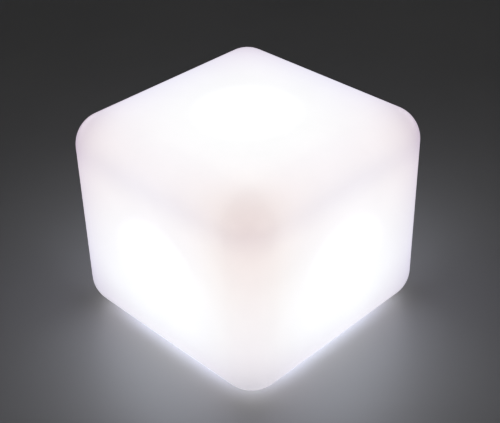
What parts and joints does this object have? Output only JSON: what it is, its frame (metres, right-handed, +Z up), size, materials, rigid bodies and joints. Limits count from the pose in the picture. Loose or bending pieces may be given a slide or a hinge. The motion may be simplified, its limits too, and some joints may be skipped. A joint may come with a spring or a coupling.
{
  "type": "floating pool light",
  "caption": "Floating pool light: a squat cube of frosted white plastic with soft round edges, glowing from a sealed rechargeable light engine screwed up into its underside.",
  "frame": {"origin": "middle of the footprint, on the plane the four feet stand on", "axes": "+Z up through the top face; the four sides face +X, -X, +Y and -Y; the finger bar of the light engine runs along Y"},
  "size_m": [0.1, 0.1, 0.088],
  "materials": {
    "shell_polyethylene": "satin",
    "abs_white": "satin",
    "silicone_grey": "matte",
    "rubber_black": "matte",
    "silicone_button": "matte",
    "steel": "satin",
    "brass": "satin",
    "board_green": "satin",
    "board_white": "satin",
    "chip_black": "matte",
    "connector_white": "satin",
    "cell_sleeve": "gloss",
    "ferrite": "matte",
    "foam": "matte",
    "wire_red": "satin",
    "wire_black": "satin",
    "harness_grey": "satin",
    "dome_frosted": "satin",
    "led_package": "gloss"
  },
  "bodies": {
    "base_unit": {"engine_cup": "abs_white", "foot_1": "rubber_black", "foot_2": "rubber_black", "foot_3": "rubber_black", "foot_4": "rubber_black", "switch_body": "chip_black", "charge_jack": "chip_black", "jack_pin": "brass", "control_board": "board_green", "controller_chip": "chip_black", "power_inductor": "ferrite", "harness_socket": "connector_white", "battery_tray": "abs_white", "tray_screw_1": "steel", "tray_screw_2": "steel", "tray_screw_3": "steel", "tray_screw_4": "steel", "battery_cell": "cell_sleeve", "battery_pad": "foam", "lead_positive": "wire_red", "lead_negative": "wire_black", "led_deck": "abs_white", "led_board": "board_white", "board_screw_1": "steel", "board_screw_2": "steel", "led_1": "led_package", "led_2": "led_package", "led_3": "led_package", "led_4": "led_package", "led_5": "led_package", "led_6": "led_package", "led_socket": "connector_white", "ir_receiver": "chip_black", "led_harness": "harness_grey", "dome_gasket": "silicone_grey", "diffuser_dome": "dome_frosted", "deck_screw_1": "steel", "deck_screw_2": "steel"},
    "seal": {"seal_ring": "silicone_grey"},
    "shell": {"shell": "shell_polyethylene", "neck_ring": "abs_white", "neck_gasket": "silicone_grey", "neck_screw_1": "steel", "neck_screw_2": "steel", "neck_screw_3": "steel", "neck_screw_4": "steel", "neck_insert_1": "brass", "neck_insert_2": "brass", "neck_insert_3": "brass", "neck_insert_4": "brass"},
    "button": {"power_button": "silicone_button", "button_seal": "rubber_black"},
    "plunger": {"switch_plunger": "connector_white"},
    "plug": {"port_plug": "silicone_button"}
  },
  "joints": [
    {"name": "shell_unscrew", "type": "hinge", "parent": "base_unit", "child": "seal", "pos_m": [0, 0, 0], "axis": [0, 0, 1], "range_deg": [0, 1620]},
    {"name": "shell_lift", "type": "slide", "parent": "seal", "child": "shell", "axis": [0, 0, 1], "range_m": [0, 0.05401]},
    {"name": "button_press", "type": "slide", "parent": "base_unit", "child": "button", "axis": [0, 0, 1], "range_m": [0, 0.0005], "stiffness_N_per_m": 2000},
    {"name": "plunger_travel", "type": "slide", "parent": "base_unit", "child": "plunger", "axis": [0, 0, 1], "range_m": [0, 0.0005]},
    {"name": "plug_pull", "type": "slide", "parent": "base_unit", "child": "plug", "axis": [0, 0, -1], "range_m": [0, 0.008]}
  ],
  "couplings": [
    {"joint": "shell_lift", "follows": "shell_unscrew", "m_per_rad": 0.0019099},
    {"joint": "plunger_travel", "follows": "button_press", "ratio": 1}
  ]
}
